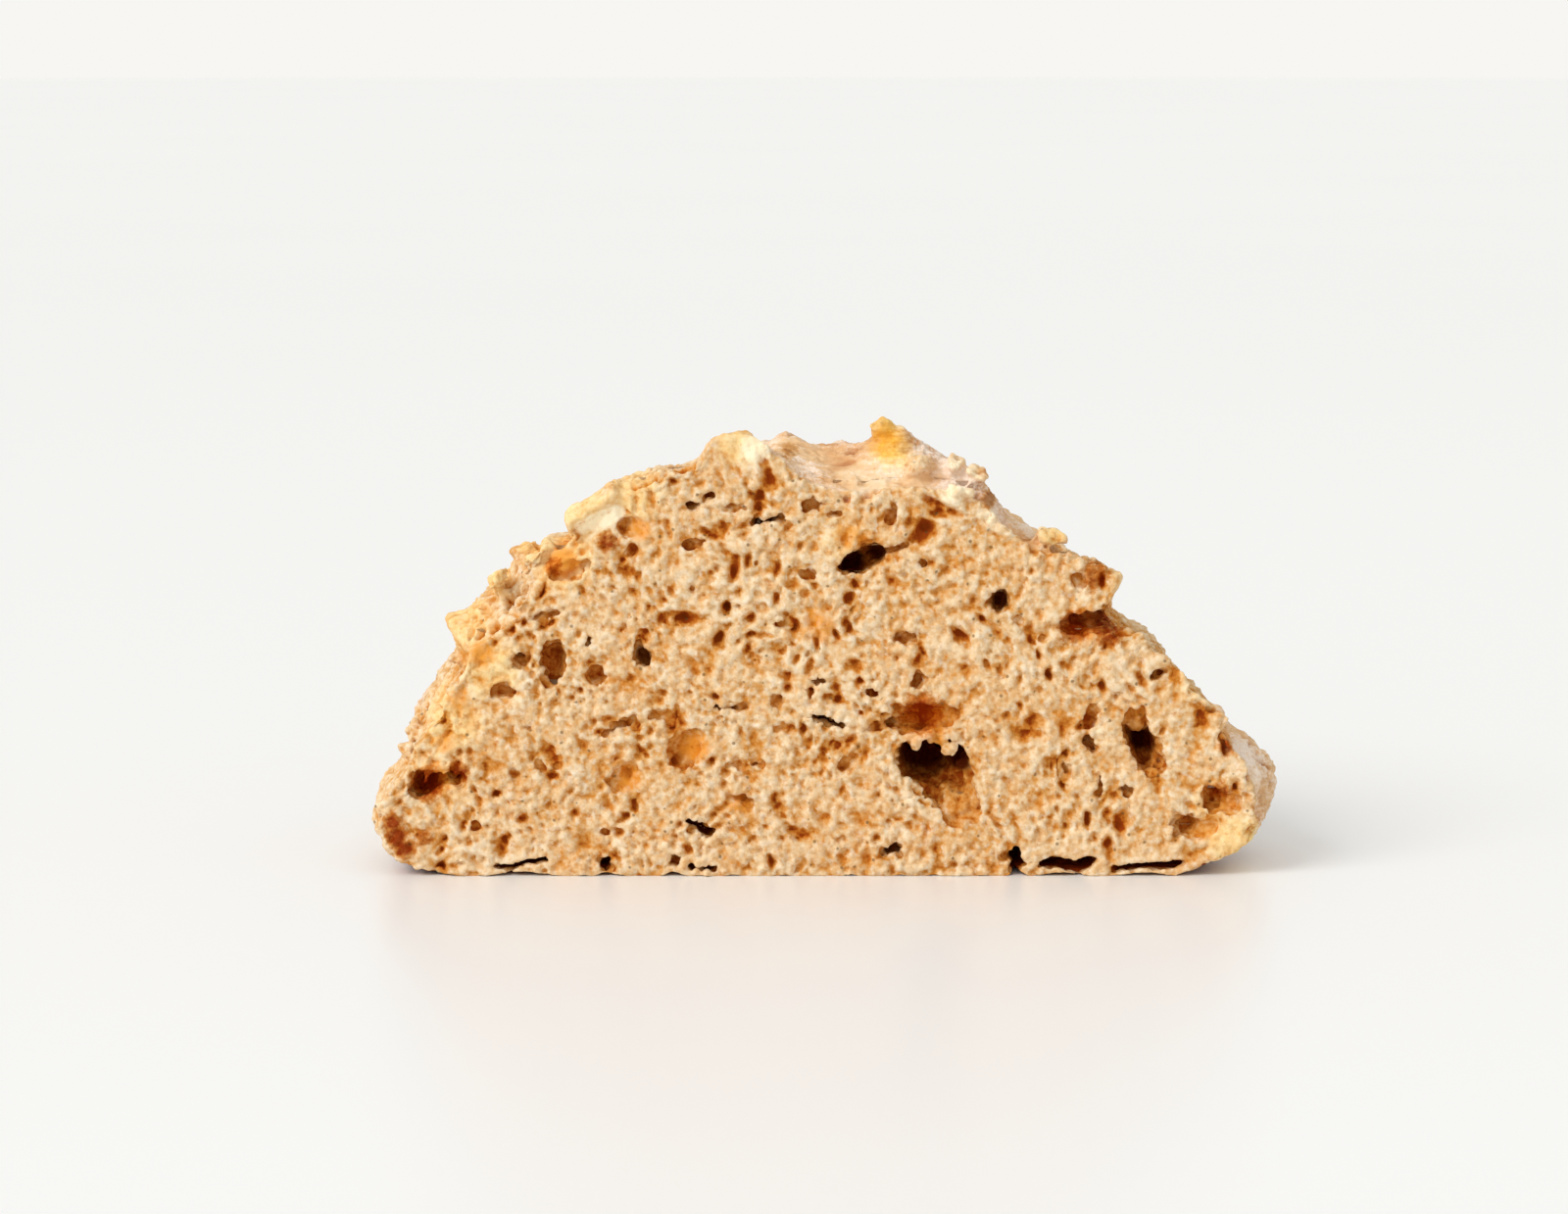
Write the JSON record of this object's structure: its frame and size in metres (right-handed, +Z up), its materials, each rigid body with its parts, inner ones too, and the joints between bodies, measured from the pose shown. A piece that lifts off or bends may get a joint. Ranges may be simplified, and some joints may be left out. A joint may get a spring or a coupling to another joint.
{
  "type": "half bread roll",
  "caption": "Half of a rustic wholemeal bread roll, cut upright, with an open airy crumb and a rough torn crust, standing on its flat base.",
  "frame": {"origin": "middle of the bounding box's base, on the flat underside that the roll stands on", "axes": "+X along the cut face to the viewer's right, +Y from the cut face back into the roll, +Z up"},
  "size_m": [0.099, 0.0542, 0.0488],
  "materials": {
    "crumb": "matte"
  },
  "bodies": {
    "root": {"bread_roll_half": "crumb"}
  },
  "joints": []
}
